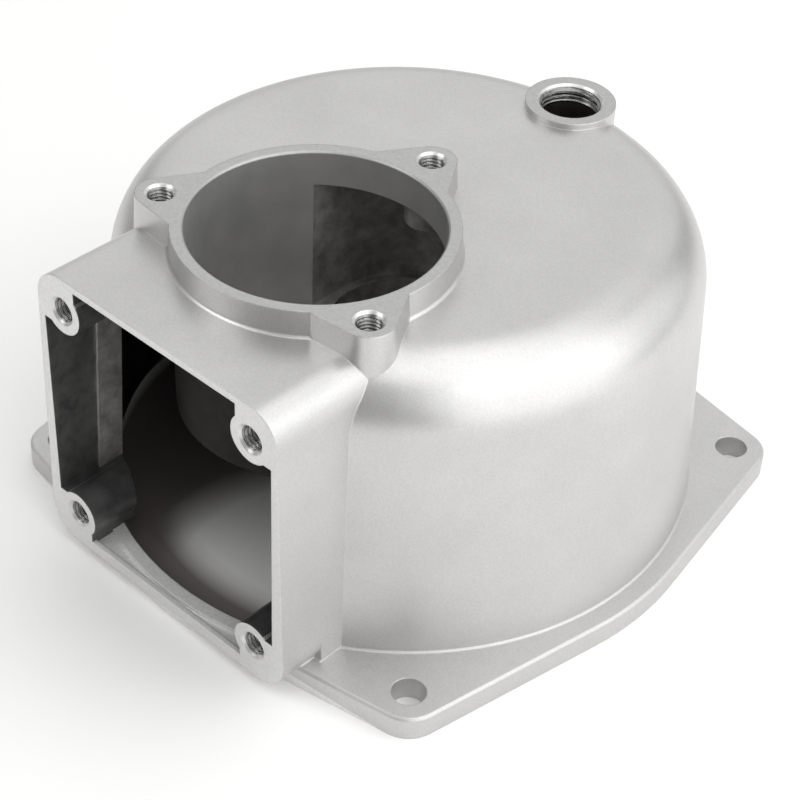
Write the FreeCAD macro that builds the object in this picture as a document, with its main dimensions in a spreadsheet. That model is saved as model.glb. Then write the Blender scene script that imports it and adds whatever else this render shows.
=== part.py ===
import FreeCAD, Part
import os
import re

import Sketcher

# Casing of a three-inch self-priming engine pump, one aluminium casting in millimetres.
# It stands on its open back flange. +Z is the drum's axis, with z = 0 at the flange's back face,
# and the square discharge box looks towards -Y.

# Back flange and the drum that stands on it
FLANGE_SIZES = {
    "flange_thickness": 8.4,
    "rim_margin": 24.9,
    "flange_pitch": 163.6,
    "flange_ear": 11.5,
    "flange_hole": 11.0,
    "flange_edge": 0.8,
}
DRUM_SIZES = {
    "drum_height": 111.5,
    "drum_radius": 99.4,
    "drum_draft": 2.75,
    "drum_wall": 2.6,
    "roof_wall": 3.7,
    "outer_shoulder": 22.8,
    "foot_bead": 0.6,
    "register_radius": 102.0,
    "register_depth": 4.5,
    "register_lead": 0.4,
}
# Discharge box with its bolted face, screw columns and the raised frame round its window
BOX_SIZES = {
    "face_reach": 108.15,
    "box_bottom": 4.5,
    "box_top_width": 103.5,
    "box_draft": 1.42,
    "box_top_corner": 10.5,
    "box_bottom_corner": 12.0,
    "box_root": 40.0,
    "column_pitch": 82.0,
    "column_drop": 12.2,
    "column_radius": 8.0,
    "column_web": 42.0,
    "mouth_width": 99.0,
    "box_roof": 2.5,
    "lip_level": 9.6,
    "lip_thickness": 1.8,
    "sump_level": 7.6,
    "mouth_root": 87.0,
    "window_width": 97.0,
    "window_level": 8.7,
    "window_root": 60.0,
    "frame_inner_gap": 1.9,
    "frame_depth": 4.2,
    "sill_radius": 101.0,
}
# Suction ring with its three lugs, and the chamber that leads to the eye
SUCTION_SIZES = {
    "suction_offset": 42.19,
    "suction_bore": 40.0,
    "ring_height": 8.9,
    "ring_radius": 44.2,
    "ring_draft": 3.2,
    "ring_bead": 0.7,
    "bore_chamfer": 0.6,
    "lug_reach": 50.13,
    "lug_angle": 117.0,
    "rear_lug_reach": 51.13,
    "lug_nose": 8.0,
    "lug_flank": 32.5,
    "lug_depth": 26.0,
    "lug_column": 9.5,
    "chamber_wall": 4.0,
    "chamber_depth": 60.4,
    "floor_wall": 4.0,
    "passage_half": 29.0,
    "eye_radius": 26.0,
    "eye_sleeve": 6.0,
}
# Filler boss and the tapped holes
TAPPED_SIZES = {
    "filler_offset": 77.7,
    "filler_rise": 2.2,
    "filler_radius": 15.3,
    "filler_length": 14.5,
    "filler_bore": 9.32,
    "filler_mouth": 11.2,
    "screw_bore": 3.4,
    "screw_mouth": 5.0,
    "screw_depth": 18.0,
    "drill_point": 118.0,
}
SIZES = {**FLANGE_SIZES, **DRUM_SIZES, **BOX_SIZES, **SUCTION_SIZES, **TAPPED_SIZES}

UP = FreeCAD.Vector(0, 0, 1)
SAME = 1e-4

doc = FreeCAD.newDocument("PumpHousing")
sheet = doc.addObject("Spreadsheet::Sheet", "Sizes")
for row, (alias, number) in enumerate(SIZES.items(), start=1):
    sheet.set(f"A{row}", alias.replace("_", " "))
    sheet.set(f"B{row}", str(number))
    sheet.setAlias(f"B{row}", alias)
doc.recompute()


def linked(text):
    """The same expression with each size named through the sheet."""
    return re.sub(r"[a-z_]+", lambda word: f"Sizes.{word[0]}" if word[0] in SIZES else word[0], text)


def value(text):
    """What an expression of the sheet's sizes comes to now."""
    return float(sheet.evalExpression(text))


def point(x, y):
    return FreeCAD.Vector(value(x), value(y), 0)


# Sketches

def new_sketch(body, name, plane, offset="0"):
    """A sketch on an origin plane of the body, moved along the plane's normal."""
    sketch = body.newObject("Sketcher::SketchObject", name)
    support = next(item for item in body.Origin.OriginFeatures if item.Role == plane)
    sketch.AttachmentSupport = (support, "")
    sketch.MapMode = "FlatFace"
    sketch.setExpression("AttachmentOffset.Base.z", linked(offset))
    return sketch


def bind(sketch, kind, target, text):
    """One dimension of a sketch, tied to the sheet."""
    index = sketch.addConstraint(Sketcher.Constraint(kind, *target, value(text)))
    name = f"size_{index}"
    sketch.renameConstraint(index, name)
    sketch.setExpression(f"Constraints.{name}", linked(text))


def circle(sketch, x, y, radius):
    edge = sketch.addGeometry(Part.Circle(point(x, y), UP, value(radius)), False)
    bind(sketch, "DistanceX", (edge, 3), x)
    bind(sketch, "DistanceY", (edge, 3), y)
    bind(sketch, "Radius", (edge,), radius)


def arc_between(start, end, radius):
    """The short arc from start to end: it turns left for a plus radius and right for a minus one."""
    middle = (start + end) / 2
    chord = end - start
    across = FreeCAD.Vector(-chord.y, chord.x, 0).normalize()
    reach = max(radius ** 2 - chord.Length ** 2 / 4, 0) ** 0.5
    centre = middle + across * (reach if radius > 0 else -reach)
    first, last = (start, end) if radius > 0 else (end, start)
    ring = Part.Circle(centre, UP, abs(radius))
    return Part.ArcOfCircle(ring, ring.parameter(first), ring.parameter(last))


def outline(sketch, corners):
    """A closed chain. A corner is (x, y, radius of the arc to the next corner, or None)."""
    places = [point(x, y) for x, y, _ in corners]
    ends = []
    for (_, _, radius), start, end in zip(corners, places, places[1:] + places[:1]):
        if radius is None:
            edge = sketch.addGeometry(Part.LineSegment(start, end), False)
            ends.append((edge, 1, 2))
        else:
            turn = value(radius)
            edge = sketch.addGeometry(arc_between(start, end, turn), False)
            ends.append((edge, 1, 2) if turn > 0 else (edge, 2, 1))
    for (edge, _, tail), (following, head, _) in zip(ends, ends[1:] + ends[:1]):
        sketch.addConstraint(Sketcher.Constraint("Coincident", edge, tail, following, head))
    for (x, y, radius), (edge, head, _) in zip(corners, ends):
        bind(sketch, "DistanceX", (edge, head), x)
        bind(sketch, "DistanceY", (edge, head), y)
        if radius is not None:
            bind(sketch, "Radius", (edge,), radius.lstrip("-"))


def both_sides(half, closing=None):
    """A chain drawn at plus x and carried on by its mirror image at minus x."""
    other = []
    for index in reversed(range(len(half))):
        x, y, _ = half[index]
        radius = half[index - 1][2] if index else closing
        other.append((f"-({x})", y, radius))
    return half + other


# Features

def pad(body, name, sketch, length, down=False, draft="0"):
    feature = body.newObject("PartDesign::Pad", name)
    feature.Profile = sketch
    feature.setExpression("Length", linked(length))
    feature.setExpression("TaperAngle", linked(draft))
    feature.Reversed = down
    return settle(feature, grows=True)


def pocket(body, name, sketch, length, up=False):
    feature = body.newObject("PartDesign::Pocket", name)
    feature.Profile = sketch
    feature.setExpression("Length", linked(length))
    feature.Reversed = up
    return settle(feature, grows=False)


def turned(body, name, kind, sketch, angle="360", axis="V_Axis"):
    """A revolution or groove round the sketch's own axis, centred on the sketch's plane."""
    feature = body.newObject(f"PartDesign::{kind}", name)
    feature.Profile = sketch
    feature.ReferenceAxis = (sketch, [axis])
    feature.setExpression("Angle", linked(angle))
    feature.Midplane = True
    return settle(feature, grows=kind == "Revolution")


def settle(feature, grows):
    """Recompute, and check that the feature did what it is for."""
    doc.recompute()
    base = feature.BaseFeature
    before = base.Shape.Volume if base else 0.0
    change = feature.Shape.Volume - before
    if "Invalid" in feature.State or (change > 0) != grows:
        raise RuntimeError(f"{feature.Name} changed the volume by {change:.1f}: {feature.State}")
    return feature


def rounded(body, name, base, names, radius):
    feature = body.newObject("PartDesign::Fillet", name)
    feature.Base = (base, names)
    feature.setExpression("Radius", linked(radius))
    return settle_edges(feature)


def chamfered(body, name, base, names, size):
    feature = body.newObject("PartDesign::Chamfer", name)
    feature.Base = (base, names)
    feature.setExpression("Size", linked(size))
    return settle_edges(feature)


def settle_edges(feature):
    doc.recompute()
    if "Invalid" in feature.State or feature.Shape.isNull():
        raise RuntimeError(f"{feature.Name} was not made: {feature.State}")
    return feature


def lies_at(edge, level):
    """Whether the whole edge lies at one level."""
    return max(abs(edge.BoundBox.ZMin - level), abs(edge.BoundBox.ZMax - level)) < SAME


def edges_where(feature, wanted):
    """Names of the feature's edges that a test picks."""
    return [f"Edge{number}" for number, edge in enumerate(feature.Shape.Edges, start=1) if wanted(edge)]


def tapped(body, name, sketch, bore, mouth, depth):
    """Drilled holes with a countersunk mouth, for a thread cut later."""
    doc.recompute()
    feature = body.newObject("PartDesign::Hole", name)
    feature.Profile = sketch
    feature.ThreadType = "None"
    feature.setExpression("Diameter", linked(f"2 * {bore}"))
    feature.HoleCutType = "Countersink"
    feature.setExpression("HoleCutDiameter", linked(f"2 * {mouth}"))
    feature.HoleCutCountersinkAngle = 90
    if depth is None:
        feature.DepthType = "ThroughAll"
    else:
        feature.DepthType = "Dimension"
        feature.setExpression("Depth", linked(depth))
        feature.DrillPoint = "Angled"
        feature.setExpression("DrillPointAngle", linked("drill_point"))
    return settle(feature, grows=False)


# Shared geometry, as expressions

ROOF = "(drum_height - roof_wall)"
RING_TOP = "(drum_height + ring_height)"
FILLER_TOP = "(drum_height + filler_rise)"
CHAMBER_FLOOR = f"({RING_TOP} - chamber_depth)"
FLANGE_RIM = "(flange_pitch / 2 + rim_margin)"


def wall_at(inset, level):
    """Radius of the drum's drafted wall at a level, moved in by an inset."""
    return f"(drum_radius - ({inset}) - (({level}) - flange_thickness) * tan(drum_draft * 1 deg))"


def tangent_run(radius, lean):
    """How far a round runs from the corner of a level face and a wall that leans."""
    return f"(({radius}) / tan((90 + ({lean})) / 2 * 1 deg))"


def outer_shoulder():
    """The end of the drum's wall, the round over it and the flat top down to the axis."""
    run = tangent_run("outer_shoulder", "drum_draft")
    corner = wall_at("0", "drum_height")
    return [
        (f"{corner} + {run} * sin(drum_draft * 1 deg)",
         f"drum_height - {run} * cos(drum_draft * 1 deg)", "outer_shoulder"),
        (f"{corner} - {run}", "drum_height", None),
        ("0", "drum_height", None),
    ]


def inner_shoulder():
    """The inside of the shoulder in three short cones, then the flat roof down to the axis."""
    centre = f"({wall_at('0', 'drum_height')} - {tangent_run('outer_shoulder', 'drum_draft')})"
    radius = "(outer_shoulder - drum_wall)"
    corners = []
    for share in ("0", "1 / 3", "2 / 3", "1"):
        turn = f"((drum_draft + (90 - drum_draft) * {share}) * 1 deg)"
        corners.append((f"{centre} + {radius} * cos{turn}",
                        f"{ROOF} - {radius} * (1 - sin{turn})", None))
    return corners + [("0", ROOF, None)]


def opening(width, floor, top):
    """The box's mouth, with the screw columns standing in its four corners."""
    across = "column_pitch / 2"
    high = "(drum_height - column_drop)"
    low = f"({high} - column_pitch)"
    web = "column_radius * cos(column_web * 1 deg)"
    lean = "column_radius * sin(column_web * 1 deg)"
    half = [
        (f"{across} - {web}", floor, None),
        (f"{across} - {web}", f"{low} - {lean}", "-column_radius"),
        (f"{across} + {lean}", f"{low} + {web}", None),
        (f"{width} / 2", f"{low} + {web}", None),
        (f"{width} / 2", f"{high} - {web}", None),
        (f"{across} + {lean}", f"{high} - {web}", "-column_radius"),
        (f"{across} - {web}", f"{high} + {lean}", None),
        (f"{across} - {web}", top, None),
    ]
    return both_sides(half)


# The casting, from the outside in

def add_drum(body):
    above = "(flange_thickness + foot_bead)"
    sketch = new_sketch(body, "DrumProfile", "XZ_Plane")
    outline(sketch, [
        ("0", "0", None),
        ("drum_radius + foot_bead", "0", None),
        ("drum_radius + foot_bead", "flange_thickness", None),
        (wall_at("0", above), above, None),
    ] + outer_shoulder())
    turned(body, "Drum", "Revolution", sketch)


def box_half(level):
    """Half the box's width at a level."""
    return f"(box_top_width / 2 + (drum_height - {level}) * tan(box_draft * 1 deg))"


def add_box(body):
    """The discharge box with drafted walls: round below, but square where it stands on the flange."""
    low_run = tangent_run("box_bottom_corner", "-box_draft")
    high_run = tangent_run("box_top_corner", "box_draft")
    low_half = box_half("box_bottom")
    high_half = box_half("drum_height")
    sketch = new_sketch(body, "BoxOutline", "XZ_Plane", "face_reach")
    outline(sketch, both_sides([
        (f"{low_half} - {low_run}", "box_bottom", "box_bottom_corner"),
        (f"{low_half} - {low_run} * sin(box_draft * 1 deg)",
         f"box_bottom + {low_run} * cos(box_draft * 1 deg)", None),
        (f"{high_half} + {high_run} * sin(box_draft * 1 deg)",
         f"drum_height - {high_run} * cos(box_draft * 1 deg)", "box_top_corner"),
        (f"{high_half} - {high_run}", "drum_height", None),
    ]))
    pad(body, "Box", sketch, "face_reach - box_root", down=True)
    foot_half = box_half("flange_thickness")
    foot_top = "(box_bottom + 2 * box_bottom_corner)"
    rim = f"sqrt({FLANGE_RIM} ^ 2 - {foot_half} ^ 2)"
    foot = new_sketch(body, "BoxFootOutline", "XZ_Plane", rim)
    outline(foot, both_sides([(foot_half, "flange_thickness", None), (box_half(foot_top), foot_top, None)]))
    pad(body, "BoxFoot", foot, f"{rim} - box_root", down=True)


def add_flange(body):
    """The back flange: a round rim drawn out by tangents to an ear round each bolt hole."""
    centre = "(flange_pitch / 2)"
    turn = f"acos(({FLANGE_RIM} - flange_ear) / ({centre} * sqrt(2)))"
    corners = []
    for quarter in range(4):
        middle = 45 + 90 * quarter
        ear_x = f"{centre} * sqrt(2) * cos({middle} deg)"
        ear_y = f"{centre} * sqrt(2) * sin({middle} deg)"
        before, after = f"({middle} deg - {turn})", f"({middle} deg + {turn})"
        corners += [
            (f"{FLANGE_RIM} * cos{before}", f"{FLANGE_RIM} * sin{before}", None),
            (f"{ear_x} + flange_ear * cos{before}", f"{ear_y} + flange_ear * sin{before}", "flange_ear"),
            (f"{ear_x} + flange_ear * cos{after}", f"{ear_y} + flange_ear * sin{after}", None),
            (f"{FLANGE_RIM} * cos{after}", f"{FLANGE_RIM} * sin{after}", FLANGE_RIM),
        ]
    sketch = new_sketch(body, "FlangeOutline", "XY_Plane")
    outline(sketch, corners)
    flange = pad(body, "Flange", sketch, "flange_thickness")
    level = value("flange_thickness")
    inner = value("drum_radius + 2 * foot_bead")
    rim = edges_where(flange, lambda edge: lies_at(edge, level) and all(
        (end.X ** 2 + end.Y ** 2) ** 0.5 > inner for end in edge.Vertexes))
    chamfered(body, "FlangeEdge", flange, rim, "flange_edge")


def add_suction_ring(body):
    """The machined ring, turned about its own axis, with a drafted side and a bead at its foot."""
    lean = "tan(ring_draft * 1 deg)"
    foot = f"(ring_radius + ring_height * {lean})"
    sketch = new_sketch(body, "RingProfile", "YZ_Plane")
    outline(sketch, [
        ("-suction_offset", ROOF, None),
        (f"-suction_offset + {foot} + ring_bead", ROOF, None),
        (f"-suction_offset + {foot} + ring_bead", "drum_height", None),
        (f"-suction_offset + {foot} - ring_bead * {lean}", "drum_height + ring_bead", None),
        ("-suction_offset + ring_radius", RING_TOP, None),
        ("-suction_offset", RING_TOP, None),
    ])
    ends = point("-suction_offset", "0"), point("-suction_offset", RING_TOP)
    axis = sketch.addGeometry(Part.LineSegment(*ends), True)
    bind(sketch, "DistanceX", (axis, 1), "-suction_offset")
    bind(sketch, "DistanceX", (axis, 2), "-suction_offset")
    turned(body, "SuctionRing", "Revolution", sketch, axis="Axis0")


def add_lug(body, name, reach, angle):
    """One ear of the suction ring, a round nose with straight flanks that run into the ring."""
    flank = "(lug_flank * 1 deg)"
    sketch = new_sketch(body, f"{name}Outline", "XY_Plane", RING_TOP)
    sketch.setExpression("AttachmentOffset.Base.y", linked("-suction_offset"))
    sketch.setExpression("AttachmentOffset.Rotation.Angle", linked(angle))
    nose_x = f"lug_nose * cos{flank}"
    nose_y = f"({reach} + lug_nose * sin{flank})"
    root_y = "(suction_bore - 2)"
    outline(sketch, both_sides([
        (f"{nose_x} + ({nose_y} - {root_y}) * tan{flank}", root_y, None),
        (nose_x, nose_y, "lug_nose"),
    ]))
    pad(body, name, sketch, "lug_depth", down=True, draft="ring_draft")


def cut_mouth(body):
    """Hollow the box outside the frame: a pocket less all that lies within the frame's radius."""
    tool = doc.addObject("PartDesign::Body", "MouthTool")
    mouth = new_sketch(tool, "MouthOutline", "XZ_Plane", "face_reach")
    outline(mouth, opening("mouth_width", "lip_level", "drum_height - box_roof"))
    pad(tool, "Mouth", mouth, "face_reach - mouth_root", down=True)
    sump_half = "column_pitch / 2 - column_radius * cos(column_web * 1 deg)"
    sump = new_sketch(tool, "SumpOutline", "XZ_Plane", "face_reach - lip_thickness")
    outline(sump, both_sides([(sump_half, "sump_level", None), (sump_half, "lip_level + 1", None)]))
    pad(tool, "Sump", sump, "face_reach - lip_thickness - mouth_root", down=True)
    outside = "-frame_inner_gap - frame_depth"
    core = new_sketch(tool, "FrameProfile", "YZ_Plane")
    outline(core, [
        ("0", "0", None),
        (wall_at(outside, "0"), "0", None),
        (wall_at(outside, "drum_height"), "drum_height", None),
        ("0", "drum_height", None),
    ])
    turned(tool, "FrameCore", "Groove", core)
    cut = body.newObject("PartDesign::Boolean", "BoxHollow")
    cut.Type = "Cut"
    cut.setObjects([tool])
    settle(cut, grows=False)


def cut_cavity(body):
    """The drum's inside, that flares out to the turned register at its mouth."""
    sketch = new_sketch(body, "CavityProfile", "XZ_Plane")
    outline(sketch, [
        ("0", "0", None),
        ("register_radius + register_lead", "0", None),
        ("register_radius", "register_lead", None),
        ("register_radius", "register_depth", None),
        (wall_at("drum_wall", "window_level"), "window_level", None),
    ] + inner_shoulder())
    turned(body, "Cavity", "Groove", sketch)


def cut_window(body):
    """The window through the frame, and the sill below it that drops to the register."""
    sketch = new_sketch(body, "WindowOutline", "XZ_Plane", "face_reach")
    outline(sketch, opening("window_width", "window_level", ROOF))
    pocket(body, "Window", sketch, "face_reach - window_root")
    half = "window_width / 2"
    sill = new_sketch(body, "SillOutline", "XY_Plane", "register_depth")
    start = f"-sqrt(sill_radius ^ 2 - ({half}) ^ 2)"
    outline(sill, both_sides([(half, start, None), (half, "-window_root", None)], closing="sill_radius"))
    pocket(body, "Sill", sill, "window_level - register_depth", up=True)


def add_chamber(body):
    """The suction chamber under the ring, with the sleeve that takes the eye of the volute."""
    outer = "(suction_bore + chamber_wall)"
    half = "(passage_half + chamber_wall)"
    meeting = f"sqrt({outer} ^ 2 - {half} ^ 2) - suction_offset"
    under = f"({CHAMBER_FLOOR} - floor_wall)"
    sketch = new_sketch(body, "ChamberOutline", "XY_Plane", under)
    outline(sketch, [
        ("0", f"-suction_offset - {outer}", outer),
        (half, meeting, None),
        (half, "0", half),
        ("0", half, half),
        (f"-{half}", "0", None),
        (f"-{half}", meeting, outer),
    ])
    pad(body, "Chamber", sketch, f"{ROOF} - {under}")
    sleeve = new_sketch(body, "SleeveOutline", "XY_Plane", under)
    circle(sleeve, "0", "0", "eye_radius + chamber_wall")
    pad(body, "EyeSleeve", sleeve, "eye_sleeve", down=True)


def cut_chamber(body):
    bore = new_sketch(body, "BoreOutline", "XY_Plane", RING_TOP)
    circle(bore, "0", "-suction_offset", "suction_bore")
    cut = pocket(body, "SuctionBore", bore, "chamber_depth")
    top = value(RING_TOP)
    width = value("2 * suction_bore")
    mouth = edges_where(cut, lambda edge: lies_at(edge, top) and abs(edge.BoundBox.XLength - width) < SAME)
    chamfered(body, "BoreMouth", cut, mouth, "bore_chamfer")
    sketch = new_sketch(body, "PassageOutline", "XY_Plane", ROOF)
    outline(sketch, [
        ("passage_half", "0", "passage_half"),
        ("0", "passage_half", "passage_half"),
        ("-passage_half", "0", None),
        ("-passage_half", "-suction_offset", None),
        ("passage_half", "-suction_offset", None),
    ])
    pocket(body, "Passage", sketch, f"{ROOF} - {CHAMBER_FLOOR}")
    eye = new_sketch(body, "EyeOutline", "XY_Plane", CHAMBER_FLOOR)
    circle(eye, "0", "0", "eye_radius")
    pocket(body, "Eye", eye, "floor_wall + eye_sleeve")


def lug_centres():
    """Where the three screws of the suction ring go."""
    side = "lug_reach * sin(lug_angle * 1 deg)"
    level = "lug_reach * cos(lug_angle * 1 deg) - suction_offset"
    return [(side, level), (f"-{side}", level), ("0", "rear_lug_reach - suction_offset")]


def add_columns(body):
    """Round columns under the roof that give the ring's screws their length of thread."""
    sketch = new_sketch(body, "LugColumns", "XY_Plane", ROOF)
    for x, y in lug_centres():
        circle(sketch, x, y, "lug_nose")
    pad(body, "Columns", sketch, "lug_column", down=True)


def add_filler_boss(body):
    sketch = new_sketch(body, "FillerOutline", "XY_Plane", FILLER_TOP)
    circle(sketch, "0", "filler_offset", "filler_radius")
    pad(body, "FillerBoss", sketch, "filler_length", down=True)


def drill(body):
    face = new_sketch(body, "FaceScrews", "XZ_Plane", "face_reach")
    for x in ("-column_pitch / 2", "column_pitch / 2"):
        for level in ("drum_height - column_drop", "drum_height - column_drop - column_pitch"):
            circle(face, x, level, "screw_bore")
    tapped(body, "FaceHoles", face, "screw_bore", "screw_mouth", "screw_depth")
    ring = new_sketch(body, "RingScrews", "XY_Plane", RING_TOP)
    for x, y in lug_centres():
        circle(ring, x, y, "screw_bore")
    tapped(body, "RingHoles", ring, "screw_bore", "screw_mouth", "screw_depth")
    filler = new_sketch(body, "FillerCircle", "XY_Plane", FILLER_TOP)
    circle(filler, "0", "filler_offset", "filler_bore")
    tapped(body, "FillerHole", filler, "filler_bore", "filler_mouth", None)
    flange = new_sketch(body, "FlangeBolts", "XY_Plane", "flange_thickness")
    for x in ("-flange_pitch / 2", "flange_pitch / 2"):
        for y in ("-flange_pitch / 2", "flange_pitch / 2"):
            circle(flange, x, y, "flange_hole / 2")
    pocket(body, "FlangeHoles", flange, "flange_thickness")


def build_housing():
    body = doc.addObject("PartDesign::Body", "Housing")
    body.Label = "pump_housing"
    add_drum(body)
    add_box(body)
    add_flange(body)
    add_suction_ring(body)
    add_lug(body, "RightLug", "lug_reach", "-lug_angle")
    add_lug(body, "LeftLug", "lug_reach", "lug_angle")
    add_lug(body, "RearLug", "rear_lug_reach", "0")
    cut_mouth(body)
    cut_cavity(body)
    cut_window(body)
    add_chamber(body)
    cut_chamber(body)
    add_columns(body)
    add_filler_boss(body)
    drill(body)
    return body


def write_steps(bodies):
    """Check every object, then write one file for each sub-part."""
    doc.recompute()
    for item in doc.Objects:
        if "Invalid" in item.State or "Error" in item.State:
            raise RuntimeError(f"{item.Name} failed: {item.State}")
    os.makedirs("parts", exist_ok=True)
    for body in bodies:
        if body.Shape.isNull() or not body.Shape.isValid():
            raise RuntimeError(f"{body.Label} has no valid shape")
        body.Shape.exportStep(f"parts/{body.Label}.step")


write_steps([build_housing()])
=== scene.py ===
import math

import bmesh
import bpy
from mathutils import Matrix, Vector


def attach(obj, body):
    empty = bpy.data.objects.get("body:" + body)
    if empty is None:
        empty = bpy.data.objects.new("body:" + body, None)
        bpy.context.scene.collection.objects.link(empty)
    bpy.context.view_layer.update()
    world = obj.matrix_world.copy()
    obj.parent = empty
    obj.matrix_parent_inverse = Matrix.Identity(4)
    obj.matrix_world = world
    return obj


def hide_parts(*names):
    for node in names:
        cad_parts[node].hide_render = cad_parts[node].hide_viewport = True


# Looks of a die-cast pump casing that stands on its back flange. Metres, +Z up,
# origin on the drum's axis at the flange's back face, discharge box towards -Y.

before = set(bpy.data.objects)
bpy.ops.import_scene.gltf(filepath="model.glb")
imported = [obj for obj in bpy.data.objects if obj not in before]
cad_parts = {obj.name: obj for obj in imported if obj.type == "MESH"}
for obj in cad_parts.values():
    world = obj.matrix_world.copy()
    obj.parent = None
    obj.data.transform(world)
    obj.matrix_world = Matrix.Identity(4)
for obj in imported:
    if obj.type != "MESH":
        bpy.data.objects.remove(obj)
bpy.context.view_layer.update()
NODE = "pump_housing"
MM = 0.001
DOWN = Vector((0, 0, -1))
INWARD = Vector((0, 1, 0))

# Drum and flange
DRUM_TOP = 111.5 * MM
DRUM_FOOT_RADIUS = 99.8 * MM
DRUM_DRAFT = math.radians(2.75)
DRUM_SKIN = 2.2 * MM
ROOF_SKIN = 2.0 * MM
SHOULDER = 22.8 * MM
SHOULDER_CENTRE = 72.8 * MM
REGISTER_RADIUS = 102.0 * MM
REGISTER_DEPTH = 4.5 * MM

# Suction ring, its three lugs, and the chamber below it
RING_CENTRE = Vector((0, -42.19, 0)) * MM
RING_TOP = 120.4 * MM
BORE_RADIUS = 40.0 * MM
BORE_SKIN = 1.0 * MM
CHAMBER_FLOOR = 60.0 * MM
PASSAGE_HALF = 30.0 * MM
EYE_RADIUS = 26.0 * MM
EYE_SLEEVE = 12.0 * MM
LUG_REACH = 50.13 * MM
REAR_LUG_REACH = 51.13 * MM
LUG_ANGLE = math.radians(117)

# Discharge box
FACE_Y = -108.15 * MM
MOUTH_HALF = 50.0 * MM
MOUTH_BACK = -60.0 * MM
WINDOW_HALF = 48.5 * MM
SILL = 11.0 * MM
SILL_INNER_RADIUS = 80.0 * MM
COLUMN_HALF = 41.0 * MM
COLUMN_LEVEL = 58.3 * MM

# Tapped holes; a thread is its largest radius, its smallest radius and its pitch
FILLER_CENTRE = Vector((0, 77.7, 113.7)) * MM
SCREW_THREAD = (4.0 * MM, 3.35 * MM, 1.25 * MM)
FILLER_THREAD = (10.48 * MM, 9.28 * MM, 1.814 * MM)
SCREW_THREAD_DEPTH = 13.0 * MM
FILLER_THREAD_DEPTH = 6.4 * MM
HOLE_END = 22.0 * MM
COUNTERSINK = 1.3 * MM
THREAD_SIDES = 48
ROWS_PER_TURN = 8
CREST_HEIGHT = 1.2
FLANK_SLOPE = 2.6

# How surfaces are told apart, and where shading breaks
NEAR = 0.3 * MM
FACING = 0.9
SHARP_EDGE = math.radians(28)
BROKEN_EDGE = 0.6 * MM

# Table: painted shade on the ground under the drum, ending inside the register's edge, with a
# painted shadow of the sill and a painted pool of light from the window
PAINTED_SHADE_RADII = (100.0 * MM, 101.0 * MM)
SILL_SHADE_RADII = (80.0 * MM, 90.0 * MM)
PAINTED_LIGHT_PATCH = Vector((28, -62, 0)) * MM
PAINTED_LIGHT_RADII = (51.0 * MM, 67.0 * MM)
TABLE_HALF = 3.0

# Camera of the photograph, fitted to the casting's edges and circles
IMAGE = 800
CAMERA_PLACE = Vector((361.655, -402.962, 472.605)) * MM
CAMERA_AZIMUTH = math.radians(41.974)
CAMERA_ELEVATION = math.radians(39.412)
CAMERA_ROLL = math.radians(2.662)
CAMERA_FOCUS = 2056.8
SENSOR = 36.0


def add_piece(name, mesh):
    piece = bpy.data.objects.new(name, mesh)
    bpy.context.scene.collection.objects.link(piece)
    return piece


# Threads

def tap(name, place, direction, thread, depth):
    """A closed plug with the form of a thread, to be cut out of a hole."""
    major, minor, pitch = thread
    rows = round(depth / pitch * ROWS_PER_TURN)
    shape = bmesh.new()
    bmesh.ops.create_circle(shape, segments=THREAD_SIDES, radius=minor)
    ring = shape.edges[:]
    for _ in range(rows):
        grown = bmesh.ops.extrude_edge_only(shape, edges=ring)["geom"]
        ends = {item for item in grown if isinstance(item, bmesh.types.BMVert)}
        ring = [edge for edge in shape.edges if ends.issuperset(edge.verts)]
        bmesh.ops.translate(shape, verts=list(ends), vec=(0, 0, depth / rows))
    bmesh.ops.holes_fill(shape, edges=shape.edges)
    for vert in shape.verts:
        turn = math.atan2(vert.co.y, vert.co.x) / math.tau
        phase = (vert.co.z / pitch - turn) % 1.0
        height = min(max(CREST_HEIGHT - abs(phase - 0.5) * FLANK_SLOPE, 0), 1)
        runout = min(depth - vert.co.z, pitch) / pitch
        vert.co.xy = vert.co.xy.normalized() * (minor + (major - minor) * height * runout)
    turned = direction.to_track_quat("Z", "Y").to_matrix().to_4x4()
    bmesh.ops.transform(shape, matrix=Matrix.Translation(place) @ turned, verts=shape.verts)
    bmesh.ops.recalc_face_normals(shape, faces=shape.faces)
    mesh = bpy.data.meshes.new(name)
    shape.to_mesh(mesh)
    shape.free()
    return add_piece(name, mesh)


def screw_holes():
    """Mouth and inward direction of each M8 hole."""
    holes = []
    for x in (-COLUMN_HALF, COLUMN_HALF):
        for z in (COLUMN_LEVEL - COLUMN_HALF, COLUMN_LEVEL + COLUMN_HALF):
            holes.append((Vector((x, FACE_Y, z)), INWARD))
    for reach, angle in ((LUG_REACH, LUG_ANGLE), (LUG_REACH, -LUG_ANGLE), (REAR_LUG_REACH, 0)):
        out = Vector((-math.sin(angle), math.cos(angle), 0)) * reach
        holes.append((RING_CENTRE + out + Vector((0, 0, RING_TOP)), DOWN))
    return holes


def threaded_casting():
    """A merged copy of the casting, with the threads cut in its tapped holes."""
    piece = add_piece("casting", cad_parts[NODE].data.copy())
    shape = bmesh.new()
    shape.from_mesh(piece.data)
    bmesh.ops.remove_doubles(shape, verts=shape.verts, dist=1e-6)
    shape.to_mesh(piece.data)
    shape.free()
    taps = [
        tap(f"tap_{number}", mouth, direction, SCREW_THREAD, SCREW_THREAD_DEPTH)
        for number, (mouth, direction) in enumerate(screw_holes())
    ]
    taps.append(tap("tap_filler", FILLER_CENTRE, DOWN, FILLER_THREAD, FILLER_THREAD_DEPTH))
    for cutter in taps:
        cut = piece.modifiers.new(cutter.name, "BOOLEAN")
        cut.object = cutter
        cut.operation = "DIFFERENCE"
        cut.solver = "MANIFOLD"
    graph = bpy.context.evaluated_depsgraph_get()
    threaded = bpy.data.meshes.new_from_object(piece.evaluated_get(graph))
    piece.modifiers.clear()
    piece.data = threaded
    for cutter in taps:
        bpy.data.objects.remove(cutter)
    return piece


# Which surface is which finish

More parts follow.
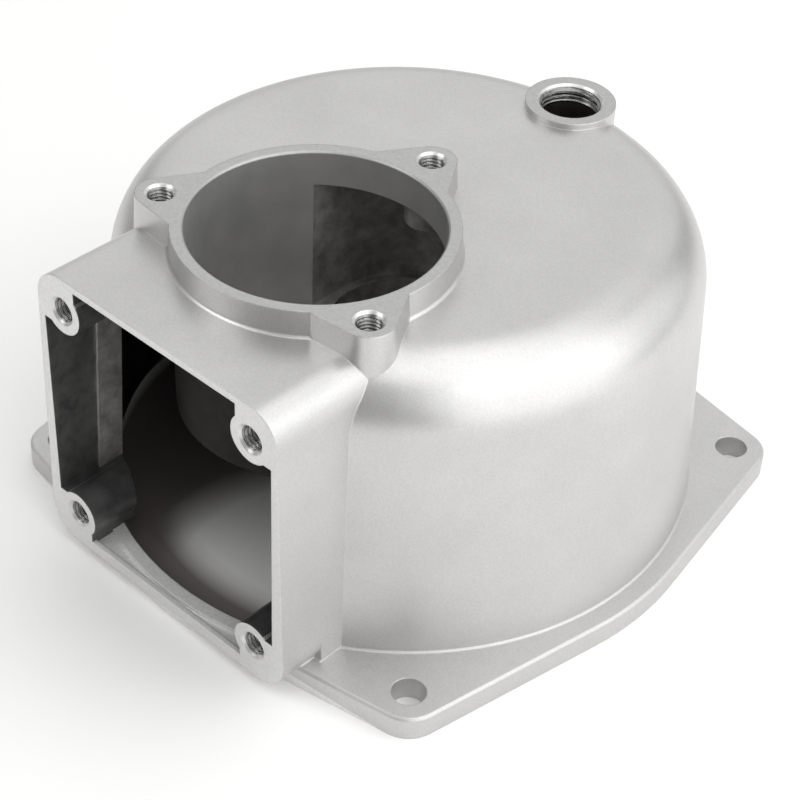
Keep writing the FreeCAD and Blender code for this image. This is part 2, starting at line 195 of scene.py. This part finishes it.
CAST, FACED, TURNED, WINDOW, THREAD, BORE, CHAMBER, INSIDE, RECESS = range(9)


def drum_radius_at(level):
    """Radius of the drum's outside at a level, its round shoulder too."""
    over = level - (DRUM_TOP - SHOULDER)
    if over < 0:
        return DRUM_FOOT_RADIUS - level * math.tan(DRUM_DRAFT)
    return SHOULDER_CENTRE + math.sqrt(max(SHOULDER ** 2 - over ** 2, 0))


def cut_face_finish(middle, normal):
    """Finish of the faces that a cutter has gone over, or None."""
    tops = (RING_TOP, FILLER_CENTRE.z)
    if normal.z > FACING and min(abs(middle.z - top) for top in tops) < NEAR:
        return TURNED
    if abs(middle.y - FACE_Y) < NEAR and normal.y < -FACING:
        return FACED
    if abs(middle.z) < NEAR and normal.z < -FACING:
        return FACED
    return None


def tapped_hole_finish(middle):
    """Finish of a countersink, a thread or the bore below it, or None."""
    for mouth, direction in screw_holes() + [(FILLER_CENTRE, DOWN)]:
        reach = middle - mouth
        along = reach.dot(direction)
        radius = (reach - along * direction).length
        filler = mouth == FILLER_CENTRE
        major = (FILLER_THREAD if filler else SCREW_THREAD)[0]
        if radius < major + COUNTERSINK and -NEAR < along < HOLE_END:
            if radius > major - 0.1 * MM:
                return FACED
            return INSIDE if filler and along > FILLER_THREAD_DEPTH else THREAD
    return None


def suction_finish(middle):
    """Finish of the ring's bore, the chamber, its passage and the eye, or None."""
    from_ring = (middle - RING_CENTRE).xy.length
    if abs(from_ring - BORE_RADIUS) < BORE_SKIN and middle.z > CHAMBER_FLOOR - NEAR:
        return BORE
    in_passage = abs(middle.x) < PASSAGE_HALF and RING_CENTRE.y < middle.y < PASSAGE_HALF
    below_roof = CHAMBER_FLOOR - NEAR < middle.z < DRUM_TOP - ROOF_SKIN
    if below_roof and (in_passage or from_ring < BORE_RADIUS):
        return CHAMBER
    if middle.xy.length < EYE_RADIUS + NEAR and abs(middle.z - CHAMBER_FLOOR) < EYE_SLEEVE:
        return CHAMBER
    return None


def hollow_finish(middle, normal):
    """Finish of the register, the sill, the drum's inside and the box's mouth, or None."""
    from_axis = middle.xy.length
    if from_axis < REGISTER_RADIUS + NEAR and middle.z < REGISTER_DEPTH + NEAR:
        return RECESS
    outward = normal.xy.dot(middle.xy.normalized())
    by_sill = abs(middle.x) < MOUTH_HALF and FACE_Y + NEAR < middle.y < MOUTH_BACK
    if by_sill and middle.z < SILL and from_axis > SILL_INNER_RADIUS and outward > -0.5:
        # Faces of the sill region that look sideways get the painted shade of the recess
        return WINDOW if abs(normal.x) < 0.5 else RECESS
    if middle.z < DRUM_TOP - ROOF_SKIN and from_axis < drum_radius_at(middle.z) - DRUM_SKIN:
        return INSIDE
    in_height = SILL < middle.z < DRUM_TOP - ROOF_SKIN
    in_mouth = abs(middle.x) < MOUTH_HALF and in_height and middle.y < MOUTH_BACK
    from_centre = middle - Vector((0, middle.y, COLUMN_LEVEL))
    if in_mouth and normal.y > -0.5 and normal.dot(from_centre) < 0:
        beside_window = abs(abs(middle.x) - WINDOW_HALF) < NEAR and abs(normal.x) > FACING
        return CHAMBER if beside_window else RECESS
    return None


def finish_of(face):
    """The finish of a face, told by where it lies and which way it looks."""
    middle, normal = face.calc_center_median(), face.normal
    found = cut_face_finish(middle, normal)
    if found is None:
        found = tapped_hole_finish(middle)
    if found is None:
        found = suction_finish(middle)
    if found is None:
        found = hollow_finish(middle, normal)
    return CAST if found is None else found


# Materials

def new_material(name):
    material = bpy.data.materials.new(name)
    material.use_nodes = True
    tree = material.node_tree
    tree.nodes.clear()
    output = tree.nodes.new("ShaderNodeOutputMaterial")
    shader = tree.nodes.new("ShaderNodeBsdfPrincipled")
    tree.links.new(shader.outputs["BSDF"], output.inputs["Surface"])
    place = tree.nodes.new("ShaderNodeTexCoord").outputs["Object"]
    return material, tree, shader, place


def noise(tree, place, scale, detail=2.0, rough=0.5):
    node = tree.nodes.new("ShaderNodeTexNoise")
    node.inputs["Scale"].default_value = scale
    node.inputs["Detail"].default_value = detail
    node.inputs["Roughness"].default_value = rough
    tree.links.new(place, node.inputs["Vector"])
    return node.outputs["Fac"]


def ramp(tree, source, low, high, start, end):
    """A colour that goes from low to high as the source goes from start to end."""
    node = tree.nodes.new("ShaderNodeValToRGB")
    node.color_ramp.elements[0].position = start
    node.color_ramp.elements[1].position = end
    node.color_ramp.elements[0].color = (*low, 1)
    node.color_ramp.elements[1].color = (*high, 1)
    tree.links.new(source, node.inputs["Fac"])
    return node.outputs["Color"]


def relief(tree, height, depth, strength):
    """A fine relief, over edges that are slightly broken."""
    broken = tree.nodes.new("ShaderNodeBevel")
    broken.samples = 6
    broken.inputs["Radius"].default_value = BROKEN_EDGE
    node = tree.nodes.new("ShaderNodeBump")
    node.inputs["Distance"].default_value = depth
    node.inputs["Strength"].default_value = strength
    tree.links.new(height, node.inputs["Height"])
    tree.links.new(broken.outputs["Normal"], node.inputs["Normal"])
    return node.outputs["Normal"]


def grey(level):
    """The casting's grey, a trace warmer than neutral."""
    return (level, level * 0.997, level * 0.99)


def cast_aluminium():
    """Shot-blasted casting: fine even grain, rougher on the walls than on the shoulder."""
    material, tree, shader, place = new_material("blasted_aluminium")
    grain = noise(tree, place, 1600, 2, 0.6)
    patches = noise(tree, place, 28, 4, 0.6)
    tone = tree.nodes.new("ShaderNodeMix")
    tone.data_type = "RGBA"
    tone.blend_type = "MULTIPLY"
    tone.inputs["Factor"].default_value = 1
    tree.links.new(ramp(tree, grain, grey(0.92), grey(1.0), 0.35, 0.6), tone.inputs["A"])
    tree.links.new(ramp(tree, patches, grey(0.59), grey(0.63), 0.35, 0.65), tone.inputs["B"])
    tree.links.new(tone.outputs["Result"], shader.inputs["Base Color"])
    shader.inputs["Metallic"].default_value = 0.9
    axes = tree.nodes.new("ShaderNodeSeparateXYZ")
    tree.links.new(place, axes.inputs["Vector"])
    rough = ramp(tree, axes.outputs["Z"], grey(0.5), grey(0.36), 60 * MM, 88 * MM)
    tree.links.new(rough, shader.inputs["Roughness"])
    tree.links.new(relief(tree, grain, 0.05 * MM, 0.5), shader.inputs["Normal"])
    return material


def machined(name, low, high, metallic, roughness):
    """A cut face with a fine even grain."""
    material, tree, shader, place = new_material(name)
    grain = noise(tree, place, 900, 3, 0.6)
    tone = ramp(tree, grain, grey(low), grey(high), 0.3, 0.7)
    tree.links.new(tone, shader.inputs["Base Color"])
    shader.inputs["Metallic"].default_value = metallic
    shader.inputs["Roughness"].default_value = roughness
    tree.links.new(relief(tree, grain, 0.05 * MM, 0.3), shader.inputs["Normal"])
    return material


def faced_aluminium():
    """The box's milled face, the flange's back and the countersinks."""
    return machined("faced_aluminium", 0.66, 0.74, 0.9, 0.36)


def turned_painted_shade():
    """Tops of the ring, its lugs and the filler: the faced finish in a darker grey, painted
    shade on faces that look up.
    """
    return machined("turned_painted_shade", 0.46, 0.54, 0.95, 0.3)


def window_aluminium():
    """The sill and the sump below the window."""
    return machined("window_aluminium", 0.7, 0.85, 0.2, 0.4)


def thread_painted_shade():
    """Flanks of the cut threads, in a dark grey that is painted shade inside the holes."""
    return machined("thread_painted_shade", 0.2, 0.3, 1.0, 0.25)


def bore_aluminium():
    """Grey wall of the suction bore."""
    material, tree, shader, place = new_material("bore_aluminium")
    streaks = noise(tree, place, 60, 4, 0.6)
    tone = ramp(tree, streaks, grey(0.4), grey(0.5), 0.3, 0.7)
    tree.links.new(tone, shader.inputs["Base Color"])
    shader.inputs["Metallic"].default_value = 0.7
    shader.inputs["Roughness"].default_value = 0.45
    grain = noise(tree, place, 1200)
    tree.links.new(relief(tree, grain, 0.06 * MM, 0.4), shader.inputs["Normal"])
    return material


def chamber_aluminium():
    """Blotched walls of the suction chamber, its passage and the window's sides."""
    material, tree, shader, place = new_material("chamber_aluminium")
    blotches = noise(tree, place, 130, 6, 0.7)
    tone = ramp(tree, blotches, (0.21, 0.198, 0.192), (0.47, 0.45, 0.44), 0.35, 0.7)
    tree.links.new(tone, shader.inputs["Base Color"])
    shader.inputs["Metallic"].default_value = 0.5
    shader.inputs["Roughness"].default_value = 0.5
    tree.links.new(relief(tree, blotches, 0.2 * MM, 0.5), shader.inputs["Normal"])
    return material


def inside_painted_shade():
    """The drum's inside: a near-black grey with a trace of brown, painted shade, with faint
    stains.
    """
    material, tree, shader, place = new_material("inside_painted_shade")
    stains = noise(tree, place, 70, 5, 0.6)
    tone = ramp(tree, stains, (0.012, 0.0105, 0.01), (0.036, 0.032, 0.029), 0.3, 0.75)
    tree.links.new(tone, shader.inputs["Base Color"])
    shader.inputs["Metallic"].default_value = 0.3
    shader.inputs["Roughness"].default_value = 0.65
    shader.inputs["Specular IOR Level"].default_value = 0.15
    tree.links.new(relief(tree, stains, 0.2 * MM, 0.4), shader.inputs["Normal"])
    return material


def recess_painted_shade():
    """Walls of the box's mouth and the register step, in a dark grey that is painted shade,
    with streaks.
    """
    material, tree, shader, place = new_material("recess_painted_shade")
    streaks = noise(tree, place, 110, 5, 0.65)
    tone = ramp(tree, streaks, grey(0.1), grey(0.24), 0.3, 0.72)
    tree.links.new(tone, shader.inputs["Base Color"])
    shader.inputs["Metallic"].default_value = 0.8
    shader.inputs["Roughness"].default_value = 0.42
    grain = noise(tree, place, 700, 3)
    tree.links.new(relief(tree, grain, 0.08 * MM, 0.5), shader.inputs["Normal"])
    return material


def dress_casting():
    """The threaded casting in its finishes, in place of the plain CAD node."""
    piece = threaded_casting()
    piece.data.materials.clear()
    for make in (cast_aluminium, faced_aluminium, turned_painted_shade, window_aluminium,
                 thread_painted_shade, bore_aluminium, chamber_aluminium, inside_painted_shade,
                 recess_painted_shade):
        piece.data.materials.append(make())
    shape = bmesh.new()
    shape.from_mesh(piece.data)
    for face in shape.faces:
        face.material_index = finish_of(face)
        face.smooth = True
    for edge in shape.edges:
        if len(edge.link_faces) == 2:
            edge.smooth = edge.calc_face_angle() < SHARP_EDGE
    shape.to_mesh(piece.data)
    shape.free()
    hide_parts(NODE)
    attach(piece, "root")


# Table, lights and camera

def distance(tree, place, centre):
    node = tree.nodes.new("ShaderNodeVectorMath")
    node.operation = "DISTANCE"
    node.inputs[1].default_value = centre
    tree.links.new(place, node.inputs[0])
    return node.outputs["Value"]


def blend(tree, under, over, source, start, end):
    """One colour that gives way to another as the source goes from start to end."""
    node = tree.nodes.new("ShaderNodeMix")
    node.data_type = "RGBA"
    share = ramp(tree, source, (0, 0, 0), (1, 1, 1), start, end)
    tree.links.new(share, node.inputs["Factor"])
    tree.links.new(under, node.inputs["A"])
    node.inputs["B"].default_value = (*over, 1)
    return node.outputs["Result"]


def make_table():
    """White table, with painted shade on the ground under the drum, a painted shadow of the
    sill and a painted pool of light where the drum's window lets light in.
    """
    shape = bmesh.new()
    bmesh.ops.create_grid(shape, x_segments=1, y_segments=1, size=TABLE_HALF)
    mesh = bpy.data.meshes.new("floor")
    shape.to_mesh(mesh)
    shape.free()
    floor = add_piece("floor", mesh)
    material, tree, shader, place = new_material("white_table")
    # Painted shade under the drum, lifted by a painted pool of light and covered again near
    # the rim by a painted shadow of the sill
    painted_shade_colour, pale = (0.19, 0.17, 0.165), grey(0.95)
    from_axis = distance(tree, place, Vector())
    painted_light_and_shade = ramp(tree, distance(tree, place, PAINTED_LIGHT_PATCH), pale, painted_shade_colour, *PAINTED_LIGHT_RADII)
    painted_light_and_shade = blend(tree, painted_light_and_shade, painted_shade_colour, from_axis, *SILL_SHADE_RADII)
    tone = blend(tree, painted_light_and_shade, pale, from_axis, *PAINTED_SHADE_RADII)
    tree.links.new(tone, shader.inputs["Base Color"])
    shader.inputs["Roughness"].default_value = 0.9
    shader.inputs["Specular IOR Level"].default_value = 0.1
    mesh.materials.append(material)


def softbox(name, place, target, size, power):
    data = bpy.data.lights.new(name, "AREA")
    data.shape = "RECTANGLE"
    data.size, data.size_y = size
    data.energy = power
    lamp = add_piece(name, data)
    lamp.location = place
    lamp.rotation_euler = (Vector(target) - Vector(place)).to_track_quat("-Z", "Y").to_euler()


def make_light():
    softbox("right_softbox", (1.05, -0.03, 0.52), (0, 0, 0.08), (1.5, 1.1), 7.4)
    softbox("side_softbox", (0.75, 0.95, 0.55), (0, 0, 0.08), (1.1, 0.9), 2.6)
    softbox("overhead_softbox", (0.35, 0.08, 1.15), (0, 0, 0.06), (1.3, 1.2), 7.2)
    softbox("back_softbox", (-0.7, 0.85, 0.85), (0, 0, 0.06), (2.2, 1.6), 6.4)
    softbox("left_softbox", (-0.75, -1.0, 1.3), (0, 0, 0.06), (0.9, 0.9), 6.5)
    world = bpy.data.worlds.new("studio")
    world.use_nodes = True
    background = world.node_tree.nodes["Background"]
    background.inputs["Color"].default_value = (0.35, 0.35, 0.345, 1)
    bpy.context.scene.world = world


def make_camera():
    data = bpy.data.cameras.new("camera")
    data.sensor_width = SENSOR
    data.lens = CAMERA_FOCUS / IMAGE * SENSOR
    data.clip_start, data.clip_end = 0.05, 20
    camera = add_piece("camera", data)
    flat = math.cos(CAMERA_ELEVATION)
    back = Vector((math.sin(CAMERA_AZIMUTH) * flat, -math.cos(CAMERA_AZIMUTH) * flat,
                   math.sin(CAMERA_ELEVATION)))
    right = Vector((math.cos(CAMERA_AZIMUTH), math.sin(CAMERA_AZIMUTH), 0))
    up = back.cross(right)
    axes = Matrix((right, up, back)).transposed()
    turned = axes @ Matrix.Rotation(CAMERA_ROLL, 3, "Z")
    camera.matrix_world = Matrix.Translation(CAMERA_PLACE) @ turned.to_4x4()
    bpy.context.scene.camera = camera


bpy.context.scene.view_settings.view_transform = "Standard"
dress_casting()
make_table()
make_light()
make_camera()
